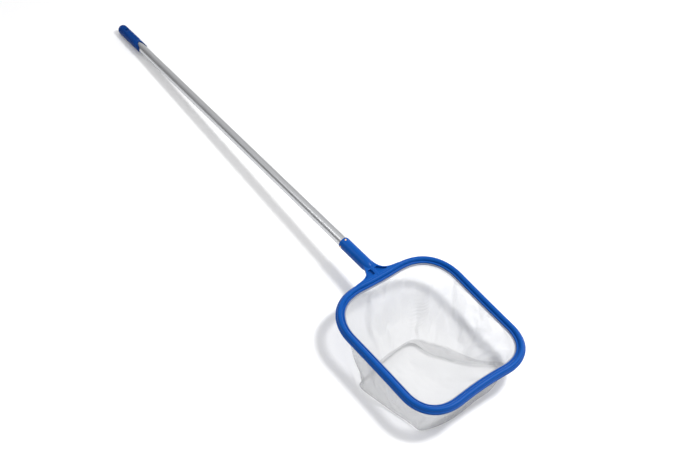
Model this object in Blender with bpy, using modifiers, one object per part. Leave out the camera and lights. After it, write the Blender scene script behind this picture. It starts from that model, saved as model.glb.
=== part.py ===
"""Leaf skimmer net: blue moulded net frame on a straight aluminium tube,
clamp ring and hem holding a hanging mesh bag, grip cap with a hang hole.

Units are metres, +Z up.  +X runs along the tube from the grip cap towards
the net.  The origin is under the middle of the whole tool, on the surface
it lies on.
"""
import bpy
import bmesh
from math import sin, cos, tan, pi, radians, sqrt, acos, atan2
from mathutils import Vector, Matrix

# ------------------------------------------------------------------ sizes
TILT = radians(3.0)            # tube rises from the cap to the net frame

TUBE_OD = 0.0254               # one inch aluminium tube
TUBE_WALL = 0.0010
FIT = 0.0003                   # clearance between touching pieces

CAP_R = 0.0149                 # outer radius of the grip cap
CAP_LEN = 0.142                # tip to the ends of the two prongs
CAP_NOTCH = 0.022              # depth of the curved notch in its mouth
CAP_SOLID = 0.050              # solid end that holds the hang hole
HANG_X = 0.037                 # hang hole centre from the tip
HANG_R = 0.0040
RECESS_Z = 0.0138              # flat of the long grip recess, from the axis
EYE_Z = 0.0120                 # deeper flat round the hang hole

MOUTH_X = 1.145                # cap tip to the mouth of the net frame socket
SOCKET_R = 0.0150
SOCKET_BORE = TUBE_OD / 2 + FIT
SOCKET_DEPTH = 0.084
SOCKET_END = 0.109             # socket mouth to its rounded nose

RIVET_X = 0.0075               # rivets, from the socket mouth
RIVET_SHANK = 0.0016
RIVET_HEAD = 0.0027

NECK_GAP = 0.120               # socket mouth to the ring's outline origin
RING_LEN = 0.379               # outline before its ends are drawn in
RING_W_NEAR = 0.1645           # half widths
RING_W_FAR = 0.154
RING_R_NEAR = 0.112            # corner radii
RING_R_FAR = 0.0905
RING_SIDE_BOW = -0.003
RING_END_BOW = -0.0155

BAG_WALL = 0.0012              # bag drawn as a thin shell
RIM_CLEAR = 0.0003

# ---------------------------------------------------------------- derived
AXIS_Z = CAP_R * (1.0 - sin(TILT))          # cap just touches the surface
HEAD_X = (MOUTH_X + NECK_GAP) * cos(TILT)
HEAD_Z = AXIS_Z + (MOUTH_X + NECK_GAP) * sin(TILT)
TUBE_X0 = CAP_SOLID + FIT * 2
TUBE_X1 = MOUTH_X + SOCKET_DEPTH - FIT * 2
RING_OUT = 0.0086              # outermost edge of the clamp ring
# ------------------------------------------------------------ ring outline
def arc_points(p, a, b, rad, n):
    da, db = (a - p).normalized(), (b - p).normalized()
    ang = acos(max(-1.0, min(1.0, da.dot(db))))
    c = p + (da + db).normalized() * (rad / sin(ang / 2.0))
    s = p + da * (rad / tan(ang / 2.0)) - c
    e = p + db * (rad / tan(ang / 2.0)) - c
    a0, a1 = atan2(s.y, s.x), atan2(e.y, e.x)
    d = (a1 - a0 + pi) % (2 * pi) - pi
    return [c + Vector((cos(a0 + d * k / n), sin(a0 + d * k / n))) * rad
            for k in range(n + 1)]


def ring_outline(n=8, straight=0.034):
    """Middle line of the ring: a rounded trapezoid, the end at the socket a
    little wider, with each side and end drawn in by a shallow parabola."""
    corners = [(Vector((0, -RING_W_NEAR)), RING_R_NEAR),
               (Vector((RING_LEN, -RING_W_FAR)), RING_R_FAR),
               (Vector((RING_LEN, RING_W_FAR)), RING_R_FAR),
               (Vector((0, RING_W_NEAR)), RING_R_NEAR)]
    raw = []
    for i, (p, r) in enumerate(corners):
        raw += arc_points(p, corners[i - 1][0], corners[(i + 1) % 4][0], r, n)
    full = []
    for i, a in enumerate(raw):
        b = raw[(i + 1) % len(raw)]
        k = max(1, int((b - a).length / straight))
        full += [a + (b - a) * j / k for j in range(k)]
    out = []
    wmax = max(RING_W_NEAR, RING_W_FAR)
    for p in full:
        t = (p.x - RING_LEN / 2) / (RING_LEN / 2)
        wy = RING_W_NEAR + (RING_W_FAR - RING_W_NEAR) * p.x / RING_LEN
        side = max(0.0, 1 - t * t) * min(1.0, abs(p.y) / wy) ** 3
        end = max(0.0, 1 - (p.y / wmax) ** 2) * min(1.0, abs(t)) ** 3
        out.append(Vector((p.x + (1 if t > 0 else -1) * RING_END_BOW * end,
                           p.y + (1 if p.y > 0 else -1) * RING_SIDE_BOW * side)))
    return out


OUTLINE = ring_outline()


# overall length, so that the origin is under the middle of the tool
TOTAL = HEAD_X + max(p.x for p in OUTLINE) + RING_OUT
SHIFT = Vector((-TOTAL / 2.0, 0.0, 0.0))

# ------------------------------------------------------------- scene reset
for ob in list(bpy.data.objects):
    bpy.data.objects.remove(ob, do_unlink=True)

PARTS = bpy.data.collections.new("leaf_skimmer_net")
CUTS = bpy.data.collections.new("cutters")
bpy.context.scene.collection.children.link(PARTS)
bpy.context.scene.collection.children.link(CUTS)


def empty(name, parent=None, loc=(0, 0, 0), rot=(0, 0, 0)):
    ob = bpy.data.objects.new(name, None)
    PARTS.objects.link(ob)
    ob.location = loc
    ob.rotation_euler = rot
    ob.parent = parent
    return ob


ROOT = empty("tool_origin", loc=SHIFT)
POLE_AXIS = empty("pole_axis", ROOT, (0, 0, AXIS_Z), (0, -TILT, 0))
HEAD = empty("head_frame", ROOT, (HEAD_X, 0, HEAD_Z))
bpy.context.view_layer.update()


def material(name, colour, rough, metal=0.0):
    m = bpy.data.materials.new(name)
    m.use_nodes = True
    b = m.node_tree.nodes["Principled BSDF"]
    b.inputs["Base Color"].default_value = (*colour, 1.0)
    b.inputs["Roughness"].default_value = rough
    b.inputs["Metallic"].default_value = metal
    return m


BLUE = material("moulded_blue", (0.012, 0.095, 0.46), 0.34)
BLUE_DARK = material("grip_blue", (0.008, 0.045, 0.24), 0.48)
ALU = material("satin_aluminium", (0.70, 0.71, 0.73), 0.30, 1.0)
BRASS = material("brass", (0.78, 0.52, 0.24), 0.28, 1.0)
MESH = material("white_mesh", (0.82, 0.84, 0.86), 0.75)
HEM = material("white_hem", (0.88, 0.90, 0.92), 0.80)


def mesh_object(name, me, parent, coll, mat=None):
    ob = bpy.data.objects.new(name, me)
    coll.objects.link(ob)
    ob.parent = parent
    if mat is not None:
        me.materials.clear()
        me.materials.append(mat)
    return ob


def smooth(ob, angle=40):
    ob.data.shade_smooth()
    ob.data.set_sharp_from_angle(angle=radians(angle))


def cutter(ob):
    ob.hide_render = True
    ob.display_type = 'WIRE'
    for c in list(ob.users_collection):
        c.objects.unlink(ob)
    CUTS.objects.link(ob)
    return ob


def boolean(ob, other, op):
    m = ob.modifiers.new(op.lower() + "_" + other.name, 'BOOLEAN')
    m.operation = op
    m.solver = 'EXACT'
    m.object = other
    return m


def apply_all(ob):
    """Replace an object's mesh by its evaluated one, so it can be joined."""
    dg = bpy.context.evaluated_depsgraph_get()
    me = bpy.data.meshes.new_from_object(ob.evaluated_get(dg))
    ob.modifiers.clear()
    old = ob.data
    ob.data = me
    if old.users == 0:
        bpy.data.meshes.remove(old)
    return ob


def weld(me, dist=0.00001):
    bm = bmesh.new()
    bm.from_mesh(me)
    bmesh.ops.remove_doubles(bm, verts=bm.verts, dist=dist)
    bmesh.ops.dissolve_degenerate(bm, edges=bm.edges, dist=dist)
    bmesh.ops.recalc_face_normals(bm, faces=bm.faces)
    bm.to_mesh(me)
    bm.free()


def mesh_from_curve(ob, name, parent, coll, mat=None):
    """Turn a curve object into a mesh object with its caps welded."""
    bpy.context.view_layer.update()
    dg = bpy.context.evaluated_depsgraph_get()
    me = bpy.data.meshes.new_from_object(ob.evaluated_get(dg))
    me.name = name
    weld(me)
    loc, par = ob.location.copy(), ob.parent
    data = ob.data
    bpy.data.objects.remove(ob, do_unlink=True)
    bpy.data.curves.remove(data)
    new = mesh_object(name, me, parent, coll, mat)
    new.location = loc
    return new


def turned(name, profile, steps, parent, coll, mat, axis='X'):
    """A turned shape: (distance along the axis, radius) points, screwed
    round the axis.  A profile whose ends are on the axis is solid, and one
    whose first point comes again at the end is a ring."""
    me = bpy.data.meshes.new(name)
    closed = profile[0] == profile[-1]
    pts = profile[:-1] if closed else profile
    if axis == 'X':
        vs = [(x, 0.0, r) for x, r in pts]
    elif axis == 'Z':
        vs = [(r, 0.0, x) for x, r in pts]
    else:
        vs = [(0.0, x, r) for x, r in pts]
    n = len(vs)
    es = [(i, i + 1) for i in range(n - 1)] + ([(n - 1, 0)] if closed else [])
    me.from_pydata(vs, es, [])
    ob = mesh_object(name, me, parent, coll, mat)
    s = ob.modifiers.new("turn", 'SCREW')
    s.axis = axis
    s.angle = 2 * pi
    s.steps = steps
    s.render_steps = steps
    s.use_merge_vertices = True
    s.merge_threshold = 0.00001
    s.use_smooth_shade = True
    apply_all(ob)
    weld(ob.data)
    if mat is not None:
        ob.data.materials.clear()
        ob.data.materials.append(mat)
    return ob


def outline_plate(name, pts, z0, z1, parent, coll, mat=None):
    """A flat outline in XY, filled and extruded from z0 to z1."""
    cu = bpy.data.curves.new(name, 'CURVE')
    cu.dimensions = '2D'
    cu.fill_mode = 'BOTH'
    cu.extrude = (z1 - z0) / 2.0
    sp = cu.splines.new('POLY')
    sp.points.add(len(pts) - 1)
    for p, (x, y) in zip(sp.points, pts):
        p.co = (x, y, 0.0, 1.0)
    sp.use_cyclic_u = True
    ob = bpy.data.objects.new(name + "_outline", cu)
    coll.objects.link(ob)
    ob.parent = parent
    ob.location = (0.0, 0.0, (z0 + z1) / 2.0)
    return mesh_from_curve(ob, name, parent, coll, mat)


def sweep_ring(name, profile, coll, mat):
    """Sweep a closed section round the ring outline.  Section points are
    (outward, up) from the middle line."""
    sec = bpy.data.curves.new(name + "_section", 'CURVE')
    sec.dimensions = '2D'
    sp = sec.splines.new('POLY')
    sp.points.add(len(profile) - 1)
    for p, (x, y) in zip(sp.points, profile):
        p.co = (x, y, 0.0, 1.0)
    sp.use_cyclic_u = True
    sec_ob = bpy.data.objects.new(name + "_section", sec)
    cutter_coll_link(sec_ob)

    cu = bpy.data.curves.new(name, 'CURVE')
    cu.dimensions = '3D'
    cu.twist_mode = 'Z_UP'
    cu.resolution_u = 1
    cu.bevel_mode = 'OBJECT'
    cu.bevel_object = sec_ob
    sp = cu.splines.new('POLY')
    sp.points.add(len(OUTLINE) - 1)
    for p, v in zip(sp.points, OUTLINE):
        p.co = (v.x, v.y, 0.0, 1.0)
    sp.use_cyclic_u = True
    ob = bpy.data.objects.new(name + "_path", cu)
    coll.objects.link(ob)
    ob.parent = HEAD
    return mesh_from_curve(ob, name, HEAD, coll, mat)


def cutter_coll_link(ob):
    CUTS.objects.link(ob)
    ob.hide_render = True
    ob.display_type = 'WIRE'


# ------------------------------------------------------------------- tube
R = TUBE_OD / 2
tube = turned("pole_tube",
              [(TUBE_X0, R), (TUBE_X1, R), (TUBE_X1, R - TUBE_WALL),
               (TUBE_X0, R - TUBE_WALL), (TUBE_X0, R)],
              32, POLE_AXIS, PARTS, ALU)

# --------------------------------------------------------------- grip cap
dome = [(CAP_R * (1 - cos(a)), CAP_R * sin(a))
        for a in [k * (pi / 2) / 7 for k in range(8)]]
cap = turned("end_cap",
             [(0.0, 0.0)] + dome[1:] +
             [(CAP_LEN, CAP_R), (CAP_LEN, R + FIT), (CAP_SOLID, R + FIT),
              (CAP_SOLID, 0.0)],
             32, POLE_AXIS, PARTS, BLUE_DARK)


def notch_points(n=10):
    """Parabola that opens the cap's mouth towards the tube."""
    x0 = CAP_LEN - CAP_NOTCH
    half = 0.0130
    up = []
    for k in range(n + 1):
        y = half * k / n
        up.append((x0 + CAP_NOTCH * (y / half) ** 2, y))
    pts = [(x, y) for x, y in reversed(up)] + [(x, -y) for x, y in up[1:]]
    far = CAP_LEN + 0.010
    return pts + [(far, -half - 0.0005), (far, half + 0.0005)]


notch = outline_plate("cut_cap_notch", notch_points(), -0.03, 0.03,
                      POLE_AXIS, CUTS)
cutter(notch)
boolean(cap, notch, 'DIFFERENCE')


def stadium(x0, x1, half, n=8):
    a = [(x0 + half - half * cos(t), half * sin(t))
         for t in [-pi / 2 + pi * k / n for k in range(n + 1)]]
    b = [(x1 - half + half * cos(t), half * sin(t))
         for t in [pi / 2 - pi * k / n for k in range(n + 1)]]
    return a + b


# a long shallow grip recess, and a deeper one round the hang hole
for tag, sgn in (("top", 1), ("under", -1)):
    for kind, x0, x1, half, flat in (("grip", 0.0215, 0.1090, 0.0060, RECESS_Z),
                                     ("eye", 0.0265, 0.0475, 0.0072, EYE_Z)):
        lo, hi = sorted((sgn * flat, sgn * 0.03))
        pk = outline_plate("cut_cap_%s_%s" % (kind, tag),
                           stadium(x0, x1, half), lo, hi, POLE_AXIS, CUTS)
        cutter(pk)
        boolean(cap, pk, 'DIFFERENCE')

hole = turned("cut_hang_hole", [(-0.03, 0.0), (-0.03, HANG_R), (0.03, HANG_R),
                                (0.03, 0.0)], 20, POLE_AXIS, CUTS, None, 'Z')
hole.location = (HANG_X, 0, 0)
cutter(hole)
boolean(cap, hole, 'DIFFERENCE')

# --------------------------------------------------- net frame, moulded
BEAD = [(0.0085, -0.0026), (0.0085, -0.0010), (0.0068, -0.0004),
        (0.0061, 0.0040), (0.0036, 0.0067), (-0.0036, 0.0067),
        (-0.0061, 0.0040), (-0.0068, -0.0004), (-0.0088, -0.0010),
        (-0.0088, -0.0026)]
frame = sweep_ring("net_frame", BEAD, PARTS, BLUE)

# socket, in the tube's line
nose = [(0.080, SOCKET_R), (0.092, 0.0143), (0.100, 0.0122),
        (0.106, 0.0086), (SOCKET_END, 0.0)]
lip = [(0.0, SOCKET_BORE + 0.0004), (0.0, SOCKET_R - 0.0008),
       (0.0010, SOCKET_R)]
socket = turned("socket_body",
                [(MOUTH_X + x, r) for x, r in
                 [(0.0, 0.0)] + lip + nose],
                32, POLE_AXIS, CUTS, BLUE)
cutter(socket)

# neck web: flared sides that run into the ring, in the ring's plane
FLARE = [(0.070, 0.0120), (0.088, 0.0132), (0.099, 0.0150), (0.107, 0.0176),
         (0.113, 0.0210), (0.118, 0.0258), (0.122, 0.0320), (0.1248, 0.0400),
         (0.1268, 0.0500), (0.1285, 0.0620), (0.1320, 0.0720)]


def head_local(x_from_mouth):
    return x_from_mouth - NECK_GAP


web_pts = [(head_local(x), y) for x, y in FLARE] + \
          [(head_local(x), -y) for x, y in reversed(FLARE)]
web = outline_plate("neck_web", web_pts, -0.0022, 0.0058, HEAD, CUTS)
cutter(web)

# two recesses leave an outer rim along each flare and a rib in the middle
REC = [(0.1100, 0.0046), (0.1245, 0.0046), (0.1255, 0.0060),
       (0.1262, 0.0300), (0.1245, 0.0315), (0.1206, 0.0245),
       (0.1160, 0.0188), (0.1110, 0.0150), (0.1085, 0.0122)]
for sgn, tag in ((1, "left"), (-1, "right")):
    pts = [(head_local(x), sgn * y) for x, y in REC]
    if sgn < 0:
        pts.reverse()
    rc = outline_plate("cut_neck_recess_" + tag, pts, -0.0006, 0.03, HEAD, CUTS)
    cutter(rc)
    boolean(web, rc, 'DIFFERENCE')

bpy.context.view_layer.update()
apply_all(web)

bore = turned("cut_socket_bore",
              [(MOUTH_X - 0.02, 0.0), (MOUTH_X - 0.02, SOCKET_BORE),
               (MOUTH_X + SOCKET_DEPTH, SOCKET_BORE),
               (MOUTH_X + SOCKET_DEPTH, 0.0)], 32, POLE_AXIS, CUTS, None)
cutter(bore)

drills = []
for tag, ax in (("y", 'Y'), ("z", 'Z')):
    d = turned("cut_rivets_" + tag,
               [(-0.03, 0.0), (-0.03, RIVET_SHANK + FIT),
                (0.03, RIVET_SHANK + FIT), (0.03, 0.0)],
               16, POLE_AXIS, CUTS, None, ax)
    d.location = (MOUTH_X + RIVET_X, 0, 0)
    cutter(d)
    drills.append(d)

boolean(frame, socket, 'UNION')
boolean(frame, web, 'UNION')
boolean(frame, bore, 'DIFFERENCE')
for d in drills:
    boolean(frame, d, 'DIFFERENCE')
    boolean(tube, d, 'DIFFERENCE')

# ---------------------------------------------------- clamp ring and hem
CLAMP = [(RING_OUT, -0.0068), (RING_OUT, -0.0038), (-0.0120, -0.0038),
         (-0.0128, -0.0028), (-0.0140, -0.0028), (-0.0144, -0.0050),
         (-0.0130, -0.0078), (0.0074, -0.0078)]
clamp = sweep_ring("clamp_ring", CLAMP, PARTS, BLUE)

HEM_SEC = [(0.0060, -0.0035), (0.0060, -0.0029), (-0.0112, -0.0029),
           (-0.0112, -0.0035)]
hem = sweep_ring("net_hem", HEM_SEC, PARTS, HEM)

# ---------------------------------------------------------------- rivets
for name, ax, sgn in (("rivet_top", 'Z', 1), ("rivet_bottom", 'Z', -1),
                      ("rivet_left", 'Y', 1), ("rivet_right", 'Y', -1)):
    s, h, f = RIVET_SHANK, RIVET_HEAD, SOCKET_R + FIT
    inner = R - TUBE_WALL - FIT
    prof = [(inner - 0.0010, 0.0), (inner - 0.0010, h * 0.75),
            (inner, h * 0.85), (inner, s), (f, s), (f, h),
            (f + 0.0006, h * 0.86), (f + 0.0011, h * 0.5), (f + 0.0012, 0.0)]
    rv = turned(name, [(x * sgn, r) for x, r in prof], 16, POLE_AXIS, PARTS,
                BRASS, ax)
    rv.location = (MOUTH_X + RIVET_X, 0, 0)
    smooth(rv, 35)

# -------------------------------------------------------------- mesh bag
def offset_outline(d):
    """The ring outline moved outwards by d."""
    n = len(OUTLINE)
    out = []
    for i, p in enumerate(OUTLINE):
        t = (OUTLINE[(i + 1) % n] - OUTLINE[i - 1]).normalized()
        out.append(p + Vector((t.y, -t.x)) * d)
    return out


# (outward from the ring's middle line, height over the surface)
WALL = [(-0.0150, HEAD_Z - 0.0030), (-0.0150, HEAD_Z - 0.0095),
        (-0.0105, HEAD_Z - 0.0170), (-0.0020, 0.0480), (0.0050, 0.0300),
        (0.0068, 0.0160), (0.0040, 0.0060), (-0.0030, 0.0)]


def bag_mesh():
    bm = bmesh.new()
    loops = []
    for d, z in WALL:
        loops.append([bm.verts.new((p.x, p.y, z - HEAD_Z))
                      for p in offset_outline(d)])
    n = len(OUTLINE)
    for a, b in zip(loops, loops[1:]):
        for i in range(n):
            j = (i + 1) % n
            bm.faces.new((a[i], b[i], b[j], a[j]))
    bm.faces.new(loops[-1])
    bmesh.ops.recalc_face_normals(bm, faces=bm.faces)
    me = bpy.data.meshes.new("net_bag")
    bm.to_mesh(me)
    bm.free()
    return me


bag = mesh_object("net_bag", bag_mesh(), HEAD, PARTS, MESH)
sol = bag.modifiers.new("thickness", 'SOLIDIFY')
sol.thickness = BAG_WALL
sol.offset = -1.0
sol.use_rim = True
sol.use_even_offset = True

for ob in (tube, cap, frame, clamp, hem, bag):
    smooth(ob, 40)

# turn everything so that face normals are outward after the modifiers
bpy.context.view_layer.update()
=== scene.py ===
"""Leaf skimmer net: the looks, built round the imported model's frame."""
import bpy, bmesh
import numpy as np
from math import sin, cos, tan, pi, radians, sqrt, acos, atan2
from mathutils import Vector, Matrix, noise
from mathutils.geometry import delaunay_2d_cdt


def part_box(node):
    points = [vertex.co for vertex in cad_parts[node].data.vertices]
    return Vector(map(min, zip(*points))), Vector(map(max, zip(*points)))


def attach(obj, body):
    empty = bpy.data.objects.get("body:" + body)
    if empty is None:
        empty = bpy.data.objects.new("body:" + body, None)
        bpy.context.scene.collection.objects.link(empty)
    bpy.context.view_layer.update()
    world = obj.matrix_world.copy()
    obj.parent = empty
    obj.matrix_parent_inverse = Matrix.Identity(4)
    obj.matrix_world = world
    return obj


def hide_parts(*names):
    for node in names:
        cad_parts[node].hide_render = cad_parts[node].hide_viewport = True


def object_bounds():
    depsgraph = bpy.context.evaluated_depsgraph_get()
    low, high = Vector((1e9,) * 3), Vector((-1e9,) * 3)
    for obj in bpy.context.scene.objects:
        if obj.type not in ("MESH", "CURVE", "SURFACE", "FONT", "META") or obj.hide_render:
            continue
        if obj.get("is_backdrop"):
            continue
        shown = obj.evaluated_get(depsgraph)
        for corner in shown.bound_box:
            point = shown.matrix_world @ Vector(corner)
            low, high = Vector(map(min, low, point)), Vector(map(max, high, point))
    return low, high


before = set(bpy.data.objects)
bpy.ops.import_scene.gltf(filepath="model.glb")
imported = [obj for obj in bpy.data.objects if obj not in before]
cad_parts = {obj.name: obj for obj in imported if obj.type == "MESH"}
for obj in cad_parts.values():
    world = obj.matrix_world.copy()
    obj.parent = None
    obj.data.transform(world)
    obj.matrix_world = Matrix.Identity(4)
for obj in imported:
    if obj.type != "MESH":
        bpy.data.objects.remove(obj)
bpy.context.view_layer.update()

# ------------------------------------------------------------------ sizes
# The same sizes as the design, in metres.
TILT = radians(3.0)
TUBE_R, TUBE_WALL, FIT = 0.0127, 0.0010, 0.0003
CAP_R, CAP_LEN, CAP_NOTCH, CAP_SOLID = 0.0149, 0.142, 0.022, 0.050
HANG_X, HANG_R, RECESS_Z, EYE_Z = 0.037, 0.0040, 0.0138, 0.0120
MOUTH_X, SOCKET_R, SOCKET_DEPTH, SOCKET_END = 1.145, 0.0150, 0.084, 0.109
SOCKET_BORE = TUBE_R + FIT
RIVET_X, RIVET_HEAD = 0.0075, 0.0027
NECK_GAP, RING_LEN = 0.120, 0.379
RING_W_NEAR, RING_W_FAR = 0.1645, 0.154
RING_R_NEAR, RING_R_FAR = 0.112, 0.0905
RING_SIDE_BOW, RING_END_BOW = -0.003, -0.0155
RING_OUT = 0.0086

TIP_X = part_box("end_cap")[0][0]                 # the cap's tip
AXIS_Z = CAP_R * (1.0 - sin(TILT))
HEAD = Vector((TIP_X + (MOUTH_X + NECK_GAP) * cos(TILT), 0.0,
               AXIS_Z + (MOUTH_X + NECK_GAP) * sin(TILT)))
POLE = Matrix.Translation((TIP_X, 0, AXIS_Z)) @ Matrix.Rotation(-TILT, 4, 'Y')
HEADM = Matrix.Translation(HEAD)

# ----------------------------------------------------------------- camera
cam_data = bpy.data.cameras.new("camera")
cam = bpy.data.objects.new("camera", cam_data)
bpy.context.scene.collection.objects.link(cam)
F_PX = 864.93
cam_data.sensor_width = 36.0
cam_data.sensor_fit = 'HORIZONTAL'
cam_data.lens = F_PX * 36.0 / 675.0
cam_data.clip_start, cam_data.clip_end = 0.05, 50.0
az, el, roll = radians(49.48), radians(47.008), radians(4.91)
back = Vector((sin(az) * cos(el), -cos(az) * cos(el), sin(el)))
right0 = Vector((cos(az), sin(az), 0.0))
up0 = Vector((-sin(az) * sin(el), cos(az) * sin(el), cos(el)))
right = right0 * cos(roll) + up0 * sin(roll)
up = -right0 * sin(roll) + up0 * cos(roll)
m = Matrix((right, up, back)).transposed().to_4x4()
m.translation = Vector((2.17873 + TIP_X, -0.908075, 1.609476))
cam.matrix_world = m
bpy.context.scene.camera = cam
bpy.context.scene.view_settings.view_transform = 'Standard'
bpy.context.scene.view_settings.look = 'None'


# ---------------------------------------------------------------- helpers
def add(name, me, mat=None, replace=None, ride=True, matrix=None):
    ob = bpy.data.objects.new(name, me)
    bpy.context.scene.collection.objects.link(ob)
    if matrix is not None:
        me.transform(matrix)
        if matrix.determinant() < 0:
            me.flip_normals()
    if mat is not None:
        me.materials.clear()
        me.materials.append(mat)
    if ride:
        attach(ob, "root")
    if replace:
        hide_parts(*([replace] if isinstance(replace, str) else replace))
    return ob


def grid_mesh(name, rows, closed_u=True, closed_v=False, cap_start=False,
              cap_end=False):
    """rows: list of loops of points, all the same length."""
    n, k = len(rows[0]), len(rows)
    vs = [tuple(p) for r in rows for p in r]
    fs = []
    for j in range(k if closed_v else k - 1):
        a, b = j * n, ((j + 1) % k) * n
        for i in range(n if closed_u else n - 1):
            i2 = (i + 1) % n
            fs.append((a + i, a + i2, b + i2, b + i))
    if cap_start:
        fs.append(tuple(reversed(range(n))))
    if cap_end:
        fs.append(tuple((k - 1) * n + i for i in range(n)))
    me = bpy.data.meshes.new(name)
    me.from_pydata(vs, [], fs)
    me.update()
    return me


def outward(me):
    bm = bmesh.new()
    bm.from_mesh(me)
    bmesh.ops.remove_doubles(bm, verts=bm.verts, dist=1e-6)
    bmesh.ops.recalc_face_normals(bm, faces=bm.faces)
    bm.to_mesh(me)
    bm.free()
    return me


def shade(me, angle=35):
    me.shade_smooth()
    me.set_sharp_from_angle(angle=radians(angle))
    return me


def fillet(pts, radii, k=4):
    """A closed polygon with its corners rounded."""
    out, n = [], len(pts)
    rr = radii if hasattr(radii, "__len__") else [radii] * n
    for i in range(n):
        p, a, b = Vector(pts[i]), Vector(pts[i - 1]), Vector(pts[(i + 1) % n])
        da, db = a - p, b - p
        la, lb = da.length, db.length
        da.normalize(); db.normalize()
        ang = acos(max(-1, min(1, da.dot(db))))
        if rr[i] <= 0 or ang > pi - 0.02:
            out.append(p)
            continue
        t = min(rr[i] / tan(ang / 2), la * 0.48, lb * 0.48)
        r = t * tan(ang / 2)
        c = p + (da + db).normalized() * (r / sin(ang / 2))
        s, e = p + da * t - c, p + db * t - c
        a0, a1 = atan2(s.y, s.x), atan2(e.y, e.x)
        d = (a1 - a0 + pi) % (2 * pi) - pi
        out += [c + Vector((cos(a0 + d * j / k), sin(a0 + d * j / k))) * r
                for j in range(k + 1)]
    return out


def evaluated_mesh(ob):
    bpy.context.view_layer.update()
    dg = bpy.context.evaluated_depsgraph_get()
    return bpy.data.meshes.new_from_object(ob.evaluated_get(dg))


def temp(name, me):
    ob = bpy.data.objects.new(name, me)
    bpy.context.scene.collection.objects.link(ob)
    return ob


def drop(*obs):
    for o in obs:
        d = o.data
        bpy.data.objects.remove(o, do_unlink=True)
        if isinstance(d, bpy.types.Mesh) and d.users == 0:
            bpy.data.meshes.remove(d)


def bool_mesh(base, ops, bevel=None):
    """base mesh with a list of (mesh, operation), evaluated to a new mesh."""
    ob = temp("tmp_base", base)
    cuts = []
    for me, op in ops:
        c = temp("tmp_cut", me)
        cuts.append(c)
        mod = ob.modifiers.new("b", 'BOOLEAN')
        mod.operation, mod.solver, mod.object = op, 'EXACT', c
    if bevel:
        mod = ob.modifiers.new("bev", 'BEVEL')
        mod.width, mod.segments = bevel
        mod.limit_method, mod.angle_limit = 'ANGLE', radians(38)
        mod.use_clamp_overlap = True
    me = evaluated_mesh(ob)
    drop(ob, *cuts)
    return me


def lathe(profile, n=64, axis='X'):
    """(distance, radius) points turned about an axis."""
    rows = []
    for x, r in profile:
        ring = []
        for i in range(n):
            a = 2 * pi * i / n
            c, s = max(r, 0.0) * cos(a), max(r, 0.0) * sin(a)
            ring.append({'X': (x, c, s), 'Z': (s, c, x), 'Y': (c, x, s)}[axis])
        rows.append(ring)
    closed = profile[0] == profile[-1]
    if closed:
        rows = rows[:-1]
    me = grid_mesh("turned", rows, closed_v=closed)
    return outward(me)


def prism(pts, z0, z1):
    """A flat outline between two heights."""
    n = len(pts)
    vs = [(x, y, z0) for x, y in pts] + [(x, y, z1) for x, y in pts]
    fs = [tuple(reversed(range(n))), tuple(range(n, 2 * n))]
    fs += [(i, (i + 1) % n, n + (i + 1) % n, n + i) for i in range(n)]
    me = bpy.data.meshes.new("prism")
    me.from_pydata(vs, [], fs)
    return outward(me)


def join(meshes, name):
    bm = bmesh.new()
    for me in meshes:
        bm.from_mesh(me)
    out = bpy.data.meshes.new(name)
    bm.to_mesh(out)
    bm.free()
    return out


# ----------------------------------------------------------- ring outline
def arc_points(p, a, b, rad, n):
    da, db = (a - p).normalized(), (b - p).normalized()
    ang = acos(max(-1.0, min(1.0, da.dot(db))))
    c = p + (da + db).normalized() * (rad / sin(ang / 2.0))
    s = p + da * (rad / tan(ang / 2.0)) - c
    e = p + db * (rad / tan(ang / 2.0)) - c
    a0, a1 = atan2(s.y, s.x), atan2(e.y, e.x)
    d = (a1 - a0 + pi) % (2 * pi) - pi
    return [c + Vector((cos(a0 + d * k / n), sin(a0 + d * k / n))) * rad
            for k in range(n + 1)]


def ring_outline(n, straight):
    corners = [(Vector((0, -RING_W_NEAR)), RING_R_NEAR),
               (Vector((RING_LEN, -RING_W_FAR)), RING_R_FAR),
               (Vector((RING_LEN, RING_W_FAR)), RING_R_FAR),
               (Vector((0, RING_W_NEAR)), RING_R_NEAR)]
    raw = []
    for i, (p, r) in enumerate(corners):
        raw += arc_points(p, corners[i - 1][0], corners[(i + 1) % 4][0], r, n)
    full = []
    for i, a in enumerate(raw):
        b = raw[(i + 1) % len(raw)]
        k = max(1, int((b - a).length / straight))
        full += [a + (b - a) * j / k for j in range(k)]
    out = []
    wmax = max(RING_W_NEAR, RING_W_FAR)
    for p in full:
        t = (p.x - RING_LEN / 2) / (RING_LEN / 2)
        wy = RING_W_NEAR + (RING_W_FAR - RING_W_NEAR) * p.x / RING_LEN
        side = max(0.0, 1 - t * t) * min(1.0, abs(p.y) / wy) ** 3
        end = max(0.0, 1 - (p.y / wmax) ** 2) * min(1.0, abs(t)) ** 3
        out.append(Vector((p.x + (1 if t > 0 else -1) * RING_END_BOW * end,
                           p.y + (1 if p.y > 0 else -1) * RING_SIDE_BOW * side)))
    return out


def even_loop(pts, n):
    """The same closed line with n evenly spaced points."""
    P = np.array([(p.x, p.y) for p in pts] + [(pts[0].x, pts[0].y)])
    s = np.concatenate([[0], np.cumsum(np.linalg.norm(np.diff(P, axis=0), axis=1))])
    t = np.linspace(0, s[-1], n, endpoint=False)
    return np.stack([np.interp(t, s, P[:, 0]), np.interp(t, s, P[:, 1])], 1), s[-1]


RING_N = 300
LINE, RING_PERIM = even_loop(ring_outline(24, 0.006), RING_N)
TAN = np.roll(LINE, -1, 0) - np.roll(LINE, 1, 0)
TAN /= np.linalg.norm(TAN, axis=1)[:, None]
NOR = np.stack([TAN[:, 1], -TAN[:, 0]], 1)
if ((LINE - LINE.mean(0)) * NOR).sum() < 0:
    NOR = -NOR


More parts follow.
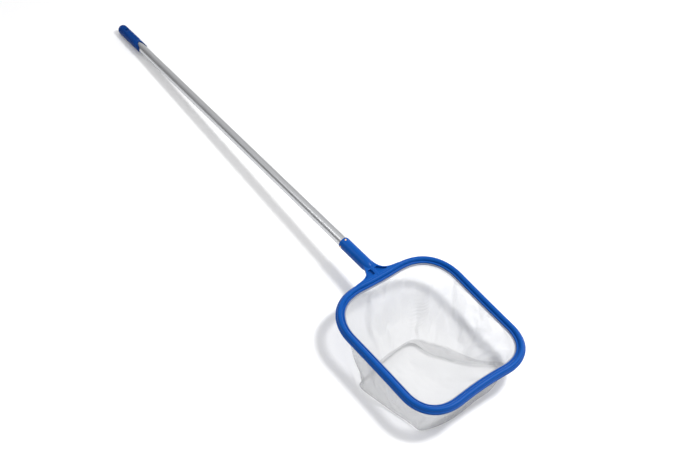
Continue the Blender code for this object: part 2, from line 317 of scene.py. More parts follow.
def sweep(section, name):
    rows = [[(LINE[i, 0] + NOR[i, 0] * o, LINE[i, 1] + NOR[i, 1] * o, z)
             for i in range(RING_N)] for o, z in section]
    return outward(grid_mesh(name, rows, closed_u=True, closed_v=True))


# -------------------------------------------------------------- materials
def nodes_of(mat):
    mat.use_nodes = True
    nt = mat.node_tree
    return nt, nt.nodes, nt.links, nt.nodes["Principled BSDF"]


def mix_colour(nt, a, b, fac_socket):
    mx = nt.nodes.new("ShaderNodeMix")
    mx.data_type = 'RGBA'
    mx.inputs[6].default_value = (*a, 1)
    mx.inputs[7].default_value = (*b, 1)
    nt.links.new(fac_socket, mx.inputs[0])
    return mx.outputs[2]


def tex_noise(nt, vec, scale, detail=3.0, rough=0.55):
    n = nt.nodes.new("ShaderNodeTexNoise")
    n.inputs["Scale"].default_value = scale
    n.inputs["Detail"].default_value = detail
    n.inputs["Roughness"].default_value = rough
    nt.links.new(vec, n.inputs["Vector"])
    return n.outputs["Fac"]


def mapping(nt, vec, scale=(1, 1, 1), rot=(0, 0, 0)):
    mp = nt.nodes.new("ShaderNodeMapping")
    mp.inputs["Scale"].default_value = scale
    mp.inputs["Rotation"].default_value = rot
    nt.links.new(vec, mp.inputs["Vector"])
    return mp.outputs["Vector"]


def map_range(nt, val, a, b, c, d):
    r = nt.nodes.new("ShaderNodeMapRange")
    r.inputs["From Min"].default_value = a
    r.inputs["From Max"].default_value = b
    r.inputs["To Min"].default_value = c
    r.inputs["To Max"].default_value = d
    nt.links.new(val, r.inputs["Value"])
    return r.outputs["Result"]


def bump(nt, height, strength, distance, bsdf, prev=None):
    b = nt.nodes.new("ShaderNodeBump")
    b.inputs["Strength"].default_value = strength
    b.inputs["Distance"].default_value = distance
    nt.links.new(height, b.inputs["Height"])
    if prev is not None:
        nt.links.new(prev, b.inputs["Normal"])
    nt.links.new(b.outputs["Normal"], bsdf.inputs["Normal"])
    return b.outputs["Normal"]


def plastic(name, base, convex_edge_colour, rough, coat=0.0, grain=900.0, rot=(0, 0, 0),
            spec=0.08):
    mat = bpy.data.materials.new(name)
    nt, N, L, bsdf = nodes_of(mat)
    tc = N.new("ShaderNodeTexCoord")
    obj = tc.outputs["Object"]
    soft = tex_noise(nt, obj, 14.0, 2.0)
    fine = tex_noise(nt, obj, grain, 2.0)
    geo = N.new("ShaderNodeNewGeometry")
    # sharp convex edges (pointiness 0.52 to 0.60) are mixed up to 45% towards a lighter blue, the third
    # argument
    edge = map_range(nt, geo.outputs["Pointiness"], 0.52, 0.60, 0.0, 0.45)
    col = mix_colour(nt, tuple(c * 0.93 for c in base), tuple(min(1, c * 1.07) for c in base), soft)
    mx = N.new("ShaderNodeMix"); mx.data_type = 'RGBA'
    L.new(edge, mx.inputs[0]); L.new(col, mx.inputs[6])
    mx.inputs[7].default_value = (*convex_edge_colour, 1)
    L.new(mx.outputs[2], bsdf.inputs["Base Color"])
    scr = tex_noise(nt, mapping(nt, obj, (30, 420, 420), rot), 3.0, 3.0)
    L.new(map_range(nt, scr, 0.3, 0.75, rough - 0.05, rough + 0.09), bsdf.inputs["Roughness"])
    bump(nt, fine, 0.10, 0.0002, bsdf)
    bsdf.inputs["Coat Weight"].default_value = coat
    bsdf.inputs["Coat Roughness"].default_value = 0.12
    bsdf.inputs["Specular IOR Level"].default_value = spec
    return mat


BLUE = plastic("moulded_blue", (0.0002, 0.070, 0.330), (0.001, 0.115, 0.44), 0.32, 0.0, spec=0.13)
GRIP = plastic("grip_blue", (0.0004, 0.034, 0.190), (0.002, 0.06, 0.28), 0.46, 0.0, 600.0)


def aluminium():
    mat = bpy.data.materials.new("drawn_aluminium")
    nt, N, L, bsdf = nodes_of(mat)
    tc = N.new("ShaderNodeTexCoord")
    v = mapping(nt, tc.outputs["Object"], (6.0, 2600.0, 2600.0), (0, TILT, 0))
    lines = tex_noise(nt, v, 1.0, 4.0, 0.65)
    blot = tex_noise(nt, tc.outputs["Object"], 22.0, 2.0)
    L.new(mix_colour(nt, (0.54, 0.55, 0.565), (0.62, 0.625, 0.64), lines), bsdf.inputs["Base Color"])
    bsdf.inputs["Metallic"].default_value = 1.0
    add_n = N.new("ShaderNodeMath"); add_n.operation = 'ADD'
    L.new(map_range(nt, lines, 0.3, 0.7, 0.27, 0.36), add_n.inputs[0])
    L.new(map_range(nt, blot, 0.3, 0.7, 0.0, 0.05), add_n.inputs[1])
    L.new(add_n.outputs[0], bsdf.inputs["Roughness"])
    bump(nt, lines, 0.10, 0.00004, bsdf)
    return mat


ALU = aluminium()


def brass():
    mat = bpy.data.materials.new("brass")
    nt, N, L, bsdf = nodes_of(mat)
    tc = N.new("ShaderNodeTexCoord")
    n = tex_noise(nt, tc.outputs["Object"], 700.0, 3.0)
    L.new(mix_colour(nt, (0.72, 0.45, 0.20), (0.92, 0.66, 0.38), n), bsdf.inputs["Base Color"])
    bsdf.inputs["Metallic"].default_value = 1.0
    L.new(map_range(nt, n, 0.3, 0.7, 0.22, 0.42), bsdf.inputs["Roughness"])
    bump(nt, n, 0.15, 0.00008, bsdf)
    return mat


BRASS = brass()


def woven(name, colour, dark, scale, alpha=None, rough=0.8, uv="weave", depth=0.00012):
    """Plain weave from two crossed waves on the cloth's own UVs (metres)."""
    mat = bpy.data.materials.new(name)
    nt, N, L, bsdf = nodes_of(mat)
    um = N.new("ShaderNodeUVMap"); um.uv_map = uv
    sep = N.new("ShaderNodeSeparateXYZ")
    L.new(mapping(nt, um.outputs["UV"], (scale, scale, scale)), sep.inputs[0])

    def thread(sock):
        w = N.new("ShaderNodeMath"); w.operation = 'PINGPONG'
        w.inputs[1].default_value = 0.5
        L.new(sock, w.inputs[0])
        return map_range(nt, w.outputs[0], 0.0, 0.5, 0.0, 1.0)
    a, b = thread(sep.outputs[0]), thread(sep.outputs[1])
    mxx = N.new("ShaderNodeMath"); mxx.operation = 'MAXIMUM'
    L.new(a, mxx.inputs[0]); L.new(b, mxx.inputs[1])
    cover = mxx.outputs[0]
    tc = N.new("ShaderNodeTexCoord")
    tone = tex_noise(nt, tc.outputs["Object"], 9.0, 2.0)
    L.new(mix_colour(nt, dark, colour, map_range(nt, tone, 0.3, 0.6, 0.2, 1.0)), bsdf.inputs["Base Color"])
    L.new(map_range(nt, cover, 0.0, 1.0, rough + 0.1, rough - 0.1), bsdf.inputs["Roughness"])
    if alpha:
        L.new(map_range(nt, cover, alpha[2], alpha[3], alpha[0], alpha[1]), bsdf.inputs["Alpha"])
    bump(nt, cover, 0.35, depth, bsdf)
    bsdf.inputs["Sheen Weight"].default_value = 0.15
    bsdf.inputs["Sheen Roughness"].default_value = 0.4
    return mat


MESH = woven("white_mesh", (0.59, 0.592, 0.60), (0.53, 0.535, 0.545), 1100.0,
             (0.10, 0.60, 0.42, 0.62), 0.72)
HEM = woven("hem_tape", (0.56, 0.57, 0.59), (0.50, 0.51, 0.54), 700.0, None, 0.85)
THREAD = woven("thread", (0.78, 0.79, 0.81), (0.70, 0.72, 0.75), 500.0, None, 0.7)

# ------------------------------------------------------------------- tube
X0, X1 = CAP_SOLID + 2 * FIT, MOUTH_X + SOCKET_DEPTH - 2 * FIT
r, w, c = TUBE_R, TUBE_WALL, 0.0002
tube_prof = [(X0, r - c), (X0 + c, r)] + \
            [(X0 + c + (X1 - X0 - 2 * c) * k / 40, r) for k in range(1, 41)] + \
            [(X1, r - c), (X1, r - w + c), (X1 - c, r - w), (X0 + c, r - w),
             (X0, r - w + c), (X0, r - c)]
tube = add("tube", shade(lathe(tube_prof, 96)), ALU, "pole_tube", matrix=POLE)

# --------------------------------------------------------------- grip cap
def stadium(x0, x1, half, n=24):
    a = [(x0 + half - half * cos(t), half * sin(t))
         for t in [-pi / 2 + pi * k / n for k in range(n + 1)]]
    b = [(x1 - half + half * cos(t), half * sin(t))
         for t in [pi / 2 - pi * k / n for k in range(n + 1)]]
    return a + b


def notch_points(n=40):
    x0, half = CAP_LEN - CAP_NOTCH, 0.0130
    upper = [(x0 + CAP_NOTCH * (k / n) ** 2, half * k / n) for k in range(n + 1)]
    pts = [(x, y) for x, y in reversed(upper)] + [(x, -y) for x, y in upper[1:]]
    far = CAP_LEN + 0.010
    return pts + [(far, -half - 0.0005), (far, half + 0.0005)]


dome = [(CAP_R * (1 - cos(a)), CAP_R * sin(a)) for a in [k * (pi / 2) / 24 for k in range(25)]]
cap_prof = dome + [(CAP_LEN - 0.0004, CAP_R), (CAP_LEN, CAP_R - 0.0004),
                   (CAP_LEN, SOCKET_BORE + 0.0003), (CAP_LEN - 0.0003, SOCKET_BORE),
                   (CAP_SOLID, SOCKET_BORE), (CAP_SOLID, 0.0)]
ops = [(prism(notch_points(), -0.03, 0.03), 'DIFFERENCE')]
for sgn in (1, -1):
    for x0, x1, half, flat in ((0.0215, 0.1090, 0.0060, RECESS_Z),
                               (0.0265, 0.0475, 0.0072, EYE_Z)):
        lo, hi = sorted((sgn * flat, sgn * 0.03))
        ops.append((prism(stadium(x0, x1, half), lo, hi), 'DIFFERENCE'))
hole = lathe([(-0.03, 0.0), (-0.03, HANG_R), (0.03, HANG_R), (0.03, 0.0)], 48, 'Z')
hole.transform(Matrix.Translation((HANG_X, 0, 0)))
ops.append((hole, 'DIFFERENCE'))
cap_me = bool_mesh(lathe(cap_prof, 96), ops, (0.0004, 2))
cap = add("grip_cap", shade(cap_me, 40), GRIP, "end_cap", matrix=POLE)



def cap_surface(x, y, lift):
    """A point on the cap's skin, above (x, y), raised by lift."""
    rr = CAP_R if x >= CAP_R else sqrt(max(CAP_R ** 2 - (CAP_R - x) ** 2, 1e-9))
    y = max(-rr * 0.985, min(rr * 0.985, y))
    p = Vector((x, y, sqrt(rr * rr - y * y)))
    c_ = Vector((max(x, CAP_R), 0, 0)) if x < CAP_R else Vector((x, 0, 0))
    n_ = (p - c_).normalized()
    return p + n_ * lift, n_


def cap_rib(line, wide, high, sgn):
    """A low rounded rib along a line on the cap."""
    rows = []
    P = [cap_surface(x, y, 0.0) for x, y in line]
    for i, (p, n_) in enumerate(P):
        a_, b_ = P[max(0, i - 1)][0], P[min(len(P) - 1, i + 1)][0]
        t_ = (b_ - a_).normalized()
        s_ = n_.cross(t_).normalized()
        f_ = min(1.0, i / 2.0, (len(P) - 1 - i) / 2.0) * 0.9 + 0.1
        f_ *= 1.0 if sgn > 0 else 0.25
        rows.append([p + s_ * (wide * cos(a2)) + n_ * (high * f_ * sin(a2) - 0.0001 * (sin(a2) < 0.1))
                     for a2 in [pi * k / 6 for k in range(7)]])
    rows = [[Vector((v.x, v.y, v.z * sgn)) for v in r_] for r_ in rows]
    me_ = grid_mesh("rib", rows, closed_u=False)
    if sgn > 0:
        me_.flip_normals()
    return me_


ribs = []
for sgn in (1, -1):
    for half, tip, end in ((0.0088, 0.0168, 0.112), (0.0113, 0.0118, 0.108), (0.0134, 0.0075, 0.103)):
        line = [(end - (end - tip - half) * k / 40, -half) for k in range(40)]
        line += [(tip + half - half * cos(a_), half * sin(a_))
                 for a_ in [-pi / 2 + pi * k / 24 for k in range(25)]]
        line += [(tip + half + (end - tip - half) * k / 40, half) for k in range(1, 41)]
        ribs.append(cap_rib(line, 0.00062, 0.00045, sgn))
    for k in range(12):
        x = 0.0535 + 0.0045 * k
        bar = fillet([(x - 0.0010, -0.0050), (x + 0.0010, -0.0050), (x + 0.0010, 0.0050), (x - 0.0010, 0.0050)], 0.0008, 3)
        lo_, hi_ = sorted((sgn * (RECESS_Z - 0.0002), sgn * (RECESS_Z + 0.0005)))
        ribs.append(prism([(p.x, p.y) for p in bar], lo_, hi_))
rib_me = join(ribs, "cap_ribs")
add("grip_ribs", shade(rib_me, 45), GRIP, "end_cap", matrix=POLE)

# --------------------------------------------------------------- net frame
BEAD = fillet([(0.0086, -0.0026), (0.0086, -0.0010), (0.0062, -0.0004),
               (0.0049, 0.0040), (0.0022, 0.0067), (-0.0026, 0.0067),
               (-0.0056, 0.0036), (-0.0064, -0.0004), (-0.0092, -0.0008),
               (-0.0096, 0.0004), (-0.0110, 0.0004), (-0.0115, -0.0004),
               (-0.0115, -0.0026)],
              [0.0003, 0.0004, 0.0008, 0.002, 0.0022, 0.0022, 0.002, 0.0008,
               0.0004, 0.0003, 0.0004, 0.0003, 0.0003], 4)
ring_me = sweep(BEAD, "ring")

nose = [(0.080, SOCKET_R), (0.087, 0.01485), (0.092, 0.0143), (0.0965, 0.0134),
        (0.100, 0.0122), (0.1035, 0.0106), (0.106, 0.0086), (0.108, 0.0055),
        (SOCKET_END, 0.0)]
sock_prof = [(0.0, 0.0), (0.0, SOCKET_R - 0.0011), (0.0003, SOCKET_R - 0.0005),
             (0.0011, SOCKET_R)] + nose
socket_me = lathe([(MOUTH_X + x, rr) for x, rr in sock_prof], 96)
socket_me.transform(POLE)

FLARE = [(0.070, 0.0120), (0.088, 0.0132), (0.099, 0.0150), (0.107, 0.0176),
         (0.113, 0.0210), (0.118, 0.0258), (0.122, 0.0320), (0.1248, 0.0400),
         (0.1268, 0.0500), (0.1285, 0.0620), (0.1320, 0.0720)]


def spline(pts, k=6):
    """Smooth line through points (Catmull-Rom)."""
    P = [Vector(p) for p in pts]
    P = [P[0] * 2 - P[1]] + P + [P[-1] * 2 - P[-2]]
    out = []
    for i in range(1, len(P) - 2):
        for j in range(k):
            t = j / k
            a, b, c_, d = P[i - 1], P[i], P[i + 1], P[i + 2]
            out.append(0.5 * ((2 * b) + (c_ - a) * t + (2 * a - 5 * b + 4 * c_ - d) * t * t
                              + (3 * b - a - 3 * c_ + d) * t ** 3))
    out.append(P[-2])
    return out


fl = spline(FLARE)
web_pts = [(p.x - NECK_GAP, p.y) for p in fl] + [(p.x - NECK_GAP, -p.y) for p in reversed(fl)]
web = prism(web_pts, -0.0024, 0.0058)
REC = [(0.1100, 0.0046), (0.1245, 0.0046), (0.1255, 0.0060),
       (0.1262, 0.0300), (0.1245, 0.0315), (0.1206, 0.0245),
       (0.1160, 0.0188), (0.1110, 0.0150), (0.1085, 0.0122)]
cuts = []
for sgn in (1, -1):
    pts = fillet([(x - NECK_GAP, sgn * y) for x, y in REC], 0.0012, 3)
    if sgn < 0:
        pts.reverse()
    cuts.append((prism([(p.x, p.y) for p in pts], -0.0006, 0.03), 'DIFFERENCE'))
web = bool_mesh(web, cuts)
rib = lathe([(0.092 - NECK_GAP, 0.0), (0.092 - NECK_GAP, 0.0036), (0.134 - NECK_GAP, 0.0036),
             (0.134 - NECK_GAP, 0.0)], 32)
rib.transform(Matrix.Translation((0, 0, 0.0034)))
for me in (web, rib):
    me.transform(HEADM)
bore = lathe([(MOUTH_X - 0.02, 0.0), (MOUTH_X - 0.02, SOCKET_BORE),
              (MOUTH_X + SOCKET_DEPTH, SOCKET_BORE), (MOUTH_X + SOCKET_DEPTH, 0.0)], 96)
bore.transform(POLE)
neck_ops = [(web, 'UNION'), (rib, 'UNION')]
neck = bool_mesh(socket_me, neck_ops)
nob = temp("neck_tmp", neck)
rm = nob.modifiers.new("rm", 'REMESH')
rm.mode, rm.voxel_size, rm.use_smooth_shade = 'VOXEL', 0.0005, True
sm = nob.modifiers.new("sm", 'CORRECTIVE_SMOOTH')
sm.factor, sm.iterations, sm.use_only_smooth, sm.use_pin_boundary = 0.5, 6, True, False
neck = evaluated_mesh(nob)
drop(nob)
neck = bool_mesh(neck, [(bore, 'DIFFERENCE')])
ring_me.transform(HEADM)
frame_ob = add("frame_ring", shade(ring_me, 50), BLUE, "net_frame")
neck_ob = add("frame_socket", shade(neck, 50), BLUE, "net_frame")

# ------------------------------------------------------------- clamp ring
CLAMP = fillet([(RING_OUT, -0.0068), (RING_OUT, -0.0038), (-0.0120, -0.0038),
                (-0.0128, -0.0028), (-0.0140, -0.0028), (-0.0144, -0.0050),
                (-0.0130, -0.0078), (0.0074, -0.0078)],
               [0.0008, 0.0004, 0.0002, 0.0003, 0.0004, 0.0008, 0.0008, 0.0008], 3)
clamp_me = sweep(CLAMP, "clamp")
clamp_me.transform(HEADM)
clamp = add("clamp_moulding", shade(clamp_me, 50), BLUE, "clamp_ring")

# ------------------------------------------------------------------ rivets
for name, ax, sgn in (("rivet_top", 'Z', 1), ("rivet_bottom", 'Z', -1),
                      ("rivet_left", 'Y', 1), ("rivet_right", 'Y', -1)):
    f, h = SOCKET_R - 0.0002, RIVET_HEAD
    prof = [(f - 0.002, 0.0), (f - 0.002, 0.0016), (f, 0.0016), (f, h - 0.0001), (f + 0.0003, h)]
    prof += [(f + 0.0003 + 0.0012 * sin(a), h * cos(a)) for a in [k * (pi / 2) / 8 for k in range(1, 9)]]
    me = lathe([(x * sgn, rr) for x, rr in prof], 32, ax)
    me.transform(Matrix.Translation((MOUTH_X + RIVET_X, 0, 0)))
    add(name + "_head", shade(me, 40), BRASS, name, matrix=POLE)

# --------------------------------------------------------------- net: hem
hem_sec = fillet([(0.0060, -0.0035), (0.0060, -0.0029), (-0.0112, -0.0029),
                  (-0.0112, -0.0035)], 0.0002, 2)
hem_me = sweep(hem_sec, "hem")
uvl = hem_me.uv_layers.new(name="weave")
hem_me.transform(HEADM)


def planar_uv(me, layer):
    for poly in me.polygons:
        for li in poly.loop_indices:
            v = me.vertices[me.loops[li].vertex_index].co
            layer.data[li].uv = (v.x, v.y)


planar_uv(hem_me, uvl)
hem = add("hem_tape", shade(hem_me, 50), HEM, "net_hem")

# ----------------------------------------------------------------- net bag
NB = 264                       # points round the bag
BLINE, BPERIM = even_loop(ring_outline(24, 0.006), NB)
BT = np.roll(BLINE, -1, 0) - np.roll(BLINE, 1, 0)
BT /= np.linalg.norm(BT, axis=1)[:, None]
BN = np.stack([BT[:, 1], -BT[:, 0]], 1)
if ((BLINE - BLINE.mean(0)) * BN).sum() < 0:
    BN = -BN
# the cloth is nipped over the clamp ring's inner lip
FIXED = [(-0.0092, -0.00305), (-0.0122, -0.00300), (-0.0134, -0.00215),
         (-0.0146, -0.0030), (-0.0150, -0.0060)]
STEP = 0.0046
ROWS = 34

# Where the sewn bottom panel lies, seen from above, side by side: the bag
# has slumped away from the socket and over to one side.
SIDES = [
    # ring from, ring to (corner middles), panel points along that side
    ("D", [(0.184, -0.176), (0.222, -0.168), (0.262, -0.158), (0.305, -0.146), (0.338, -0.140)]),
    ("C", [(0.338, -0.140), (0.352, -0.090), (0.354, -0.020), (0.346, 0.060), (0.322, 0.120)]),
    ("B", [(0.322, 0.120), (0.289, 0.082), (0.252, 0.056), (0.219, 0.0375), (0.156, -0.004)]),
    ("A", [(0.156, -0.004), (0.155, -0.030), (0.162, -0.088), (0.172, -0.135), (0.184, -0.176)]),
]


def along(pts, t):
    P = np.array(spline([(x, y) for x, y in pts], 8))[:, :2]
    s = np.concatenate([[0], np.cumsum(np.linalg.norm(np.diff(P, axis=0), axis=1))])
    return np.stack([np.interp(t * s[-1], s, P[:, 0]), np.interp(t * s[-1], s, P[:, 1])], -1)


def panel_edge():
    """For each point round the ring, the point of the bottom panel's edge
    that it is sewn to."""
    corner = [(0, -RING_W_NEAR), (RING_LEN, -RING_W_FAR), (RING_LEN, RING_W_FAR), (0, RING_W_NEAR)]
    idx = [int(np.argmin(np.linalg.norm(BLINE - np.array(c_), axis=1))) for c_ in corner]
    Q = np.zeros((NB, 2))
    side_t = np.zeros(NB)
    which = np.zeros(NB, int)
    for k in range(4):
        i0, i1 = idx[k], idx[(k + 1) % 4]
        n = (i1 - i0) % NB
        for j in range(n):
            i = (i0 + j) % NB
            Q[i] = along(SIDES[k][1], j / n)
            side_t[i] = j / n
            which[i] = k
    for _ in range(16):
        Q = 0.25 * np.roll(Q, 1, 0) + 0.5 * Q + 0.25 * np.roll(Q, -1, 0)
    return Q, which, side_t


QEDGE, WHICH, SIDE_T = panel_edge()


def bag_cage():
    rows = []
    for o, z in FIXED:
        rows.append(np.column_stack([BLINE + BN * o, np.full(NB, z + HEAD_Z)]))
    top = rows[-1]
    # how far the wall's foot is tucked under itself on each side
    tuck = np.zeros(NB)
    for i in range(NB):
        tuck[i] = {0: 0.001, 1: 0.006, 2: 0.032, 3: 0.006}[int(WHICH[i])]
    for _ in range(60):
        tuck = 0.25 * np.roll(tuck, 1) + 0.5 * tuck + 0.25 * np.roll(tuck, -1)
    cen = QEDGE.mean(0)
    inw = cen - QEDGE
    inw /= np.linalg.norm(inw, axis=1)[:, None]
    over = QEDGE + inw * tuck[:, None]
    for j in range(1, ROWS + 1):
        t = j / ROWS
        if t <= 0.88:
            u = t / 0.88
            xy = top[:, :2] + (over - top[:, :2]) * (u ** 1.12)
            z = 0.013 + (top[:, 2] - 0.013) * (1 - u) ** 1.25
            rows.append(np.column_stack([xy, z]))
        else:
            u = (t - 0.88) / 0.12
            xy = over + (QEDGE - over) * u
            z = np.full(NB, 0.0114 * (1 - u) ** 1.2 + 0.0016)
            rows.append(np.column_stack([xy, z]))
    verts = [tuple(p) for r_ in rows for p in r_]
    faces = []
    for j in range(len(rows) - 1):
        a, b = j * NB, (j + 1) * NB
        for i in range(NB):
            i2 = (i + 1) % NB
            faces.append((a + i, b + i, b + i2, a + i2))
    last = QEDGE
    lo, hi = last.min(0), last.max(0)
    pts = [Vector(p) for p in last]
    s = STEP
    ny = int((hi[1] - lo[1]) / (s * 0.866)) + 2
    nx = int((hi[0] - lo[0]) / s) + 2
    nxt = np.roll(last, -1, 0)
    for b_ in range(ny):
        for a_ in range(nx):
            x = lo[0] + a_ * s + (0.5 * s if b_ % 2 else 0)
            y = lo[1] + b_ * s * 0.866
            cross = ((last[:, 1] > y) != (nxt[:, 1] > y))
            dy = nxt[:, 1] - last[:, 1]
            dy[dy == 0] = 1e-12
            xc = last[:, 0] + (y - last[:, 1]) / dy * (nxt[:, 0] - last[:, 0])
            if (cross & (xc > x)).sum() % 2 == 1 and \
                    np.min(np.hypot(last[:, 0] - x, last[:, 1] - y)) > 0.55 * s:
                pts.append(Vector((x, y)))
    edges = [(i, (i + 1) % NB) for i in range(NB)]
    out = delaunay_2d_cdt(pts, edges, [], 1, 1e-7)
    ov, of_, orig = out[0], out[2], out[3]
    base = len(verts) - NB
    index = {}
    for i, p in enumerate(ov):
        src = [q for q in orig[i] if q < NB]
        if src:
            index[i] = base + src[0]
        else:
            index[i] = len(verts)
            verts.append((p.x, p.y, 0.0016))
    for f in of_:
        ids = [index[q] for q in f]
        if len(set(ids)) == 3:
            faces.append(tuple(ids))
    me = bpy.data.meshes.new("bag")
    me.from_pydata(verts, [], faces)
    me.update()
    bm = bmesh.new()
    bm.from_mesh(me)
    bmesh.ops.recalc_face_normals(bm, faces=bm.faces)
    bm.to_mesh(me)
    bm.free()
    return me, len(FIXED) * NB


HEAD_Z = HEAD.z
bag_me, n_fixed = bag_cage()
bag_me.transform(Matrix.Translation((HEAD.x, 0, 0)))
# cloth coordinates for the weave, set before the cloth moves
uvl = bag_me.uv_layers.new(name="weave")
co = np.zeros(len(bag_me.vertices) * 3)
bag_me.vertices.foreach_get("co", co)
co = co.reshape(-1, 3)
nwall = (len(FIXED) + ROWS) * NB
mid = [co[j * NB + NB // 3] for j in range(len(FIXED) + ROWS)]
V_ROW = np.concatenate([[0], np.cumsum([np.linalg.norm(mid[j + 1] - mid[j])
                                        for j in range(len(mid) - 1)])])
for poly in bag_me.polygons:
    ids = list(poly.vertices)
    wall = max(ids) < nwall
    cols = [q % NB for q in ids]
    wrap = wall and max(cols) - min(cols) > NB // 2
    for li, q in zip(poly.loop_indices, ids):
        if wall:
            cq = q % NB
            if wrap and cq < NB // 2:
                cq += NB
            uvl.data[li].uv = (cq * BPERIM / NB, V_ROW[q // NB])
        else:
            uvl.data[li].uv = (co[q, 0], co[q, 1])
SIM_FRAMES = 46
SLACK = 0.05


def drape(me):
    """Let the cut cloth, a little bigger than the space it is in, fall on to
    the surface and settle into its folds."""
    ob = temp("bag_sim", me)
    vg = ob.vertex_groups.new(name="pin")
    vg.add(list(range(n_fixed)), 1.0, 'REPLACE')
    cl = ob.modifiers.new("cloth", 'CLOTH')
    st = cl.settings
    st.quality = 8
    st.mass = 0.0006
    st.air_damping = 2.0
    st.tension_stiffness = st.compression_stiffness = 14
    st.shear_stiffness = 8
    st.bending_stiffness = 0.5
    st.tension_damping = st.compression_damping = 6
    st.shear_damping = 4
    st.bending_damping = 0.6
    st.shrink_min = -SLACK
    st.shrink_max = -SLACK
    st.vertex_group_mass = "pin"
    cl.collision_settings.use_collision = True
    cl.collision_settings.distance_min = 0.0012
    cl.collision_settings.collision_quality = 3
    cl.collision_settings.use_self_collision = False
    cl.collision_settings.self_distance_min = 0.0010
    cl.collision_settings.self_friction = 4
    cl.point_cache.frame_start, cl.point_cache.frame_end = 1, SIM_FRAMES
    fme = bpy.data.meshes.new("fl")
    q = 0.6
    cx = HEAD.x + RING_LEN / 2
    fme.from_pydata([(cx - q, -q, 0), (cx + q, -q, 0), (cx + q, q, 0), (cx - q, q, 0)], [], [(0, 1, 2, 3)])
    fo = temp("floor_sim", fme)
    fo.modifiers.new("c", 'COLLISION')
    fo.collision.thickness_outer = 0.0008
    fo.collision.cloth_friction = 25
    sc = bpy.context.scene
    for f in range(1, SIM_FRAMES + 1):
        sc.frame_set(f)
    out = evaluated_mesh(ob)
    sc.frame_set(1)
    drop(ob, fo)
    return out


# small uneven starts, so that the folds aren't regular
for v in bag_me.vertices:
    if v.index >= n_fixed:
        p = v.co
        d = min(1.0, (HEAD.z - p.z) / 0.05)
        n1 = noise.noise(p * 16.0)
        n2 = noise.noise(p * 16.0 + Vector((7, 3, 1)))
        n3 = noise.noise(p * 12.0 + Vector((1, 9, 4)))
        if v.index < nwall:
            a_ = 2 * pi * (v.index % NB) / NB
            tr = (v.index // NB) / (ROWS + len(FIXED))
            n3 += 3.2 * noise.noise(Vector((cos(a_) * 3.6, sin(a_) * 3.6, tr * 0.9))) \
                * sin(pi * min(1.0, tr * 1.15))
        v.co = p + Vector((n1 * 0.002 * d, n2 * 0.002 * d,
                           max(-0.4 * p.z, n3 * 0.011 * min(1, p.z / 0.02)) * d))
bag_me = drape(bag_me)
zmin = min(v.co.z for v in bag_me.vertices)
print("bag low", zmin, "verts", len(bag_me.vertices))
bag = add("mesh_bag", bag_me, MESH, "net_bag")
bag_me.shade_smooth()
sub = bag.modifiers.new("sub", 'SUBSURF')
sub.levels = sub.render_levels = 1

# the seam round the bottom panel, a narrow welt that follows the cloth
row = (len(FIXED) + ROWS - 1) * NB
loop = np.array([tuple(bag_me.vertices[row + i].co) for i in range(NB)])
for _ in range(2):
    loop = 0.25 * np.roll(loop, 1, 0) + 0.5 * loop + 0.25 * np.roll(loop, -1, 0)
lt = np.roll(loop, -1, 0) - np.roll(loop, 1, 0)
lt /= np.linalg.norm(lt, axis=1)[:, None]
lb = np.cross(lt, np.array([0.0, 0.0, 1.0]))
lb /= np.linalg.norm(lb, axis=1)[:, None]
lu = np.cross(lb, lt)
welt = []
for k in range(8):
    a_ = 2 * pi * k / 8
    welt.append([tuple(loop[i] + lb[i] * 0.0009 * cos(a_) + lu[i] * 0.0005 * sin(a_))
                 for i in range(NB)])
seam_me = outward(grid_mesh("seam", welt, closed_u=True, closed_v=True))
planar_uv(seam_me, seam_me.uv_layers.new(name="weave"))
seam = add("seam_welt", shade(seam_me, 60), MESH, "net_bag")

# ------------------------------------------------------------------- stage
fl_me = bpy.data.meshes.new("floor")
fl_me.from_pydata([(-6, -6, 0), (6, -6, 0), (6, 6, 0), (-6, 6, 0)], [], [(0, 1, 2, 3)])
floor = bpy.data.objects.new("floor", fl_me)
bpy.context.scene.collection.objects.link(floor)
fmat = bpy.data.materials.new("floor_white")
nt, N, L, bsdf = nodes_of(fmat)
tcf = N.new("ShaderNodeTexCoord")
L.new(mix_colour(nt, (0.915, 0.915, 0.92), (0.93, 0.93, 0.935), tex_noise(nt, tcf.outputs["Object"], 2.0)), bsdf.inputs["Base Color"])
bsdf.inputs["Roughness"].default_value = 0.9
fl_me.materials.append(fmat)
floor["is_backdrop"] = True


def area(name, loc, target, size, power, colour=(1, 1, 1)):
    ld = bpy.data.lights.new(name, 'AREA')
    ld.shape, ld.size, ld.energy, ld.color = 'SQUARE', size, power, colour
    ob = bpy.data.objects.new(name, ld)
    bpy.context.scene.collection.objects.link(ob)
    ob.location = loc
    ob.rotation_euler = (Vector(loc) - Vector(target)).to_track_quat('Z', 'Y').to_euler()
    return ob


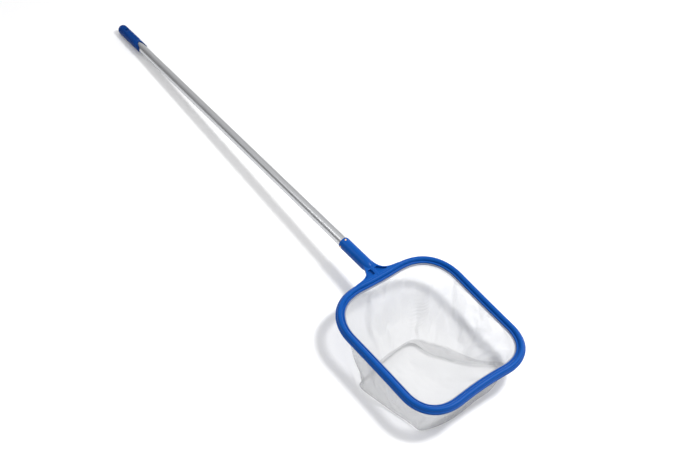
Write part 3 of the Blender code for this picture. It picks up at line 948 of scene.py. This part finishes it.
# key: a softbox high on the far side; fill: an overhead dome of soft light
# that falls off to a dark room near the horizon
RC = Vector((HEAD.x + RING_LEN / 2, 0, 0.05))
area("key", (0.90, 1.08, 2.27), RC, 0.42, 46.0)
# a weak softbox on the near side, for the streak along the socket and tube
area("streak", (-0.95, -1.10, 1.93), (0.35, 0, 0.08), 0.60, 4.8)
world = bpy.data.worlds.new("world")
bpy.context.scene.world = world
world.use_nodes = True
wn, wl = world.node_tree.nodes, world.node_tree.links
bg = wn["Background"]
wtc = wn.new("ShaderNodeTexCoord")
wsep = wn.new("ShaderNodeSeparateXYZ")
wl.new(wtc.outputs["Generated"], wsep.inputs[0])


def sky_step(sock, lo_, hi_, out_lo=0.0, out_hi=1.0):
    n_ = wn.new("ShaderNodeMapRange")
    n_.interpolation_type = 'SMOOTHSTEP'
    for k_, v_ in (("From Min", lo_), ("From Max", hi_), ("To Min", out_lo), ("To Max", out_hi)):
        n_.inputs[k_].default_value = v_
    wl.new(sock, n_.inputs["Value"])
    return n_.outputs["Result"]


def sky_mix(fac, a_, b_):
    n_ = wn.new("ShaderNodeMix")
    n_.data_type = 'FLOAT'
    wl.new(fac, n_.inputs[0])
    for v_, k_ in ((a_, 2), (b_, 3)):
        if isinstance(v_, float):
            n_.inputs[k_].default_value = v_
        else:
            wl.new(v_, n_.inputs[k_])
    return n_.outputs[0]


X_, Y_, Z_ = (wsep.outputs[k_] for k_ in ("X", "Y", "Z"))
side_low = sky_step(Y_, -0.35, 0.30, 0.12, 0.66)
side_all = sky_mix(sky_step(Z_, 0.30, 0.48), side_low, 0.64)
keep = wn.new("ShaderNodeMath")
keep.operation = 'MAXIMUM'
wl.new(sky_step(X_, -0.80, -0.55), keep.inputs[0])
wl.new(sky_step(Y_, -0.10, 0.30), keep.inputs[1])
side_far = sky_mix(keep.outputs[0], 0.22, side_all)
wm = sky_mix(sky_step(Z_, 0.60, 0.76), side_far, 0.95)
bg.inputs[0].default_value = (1, 1, 1, 1)
wl.new(wm, bg.inputs[1])

lo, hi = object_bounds()
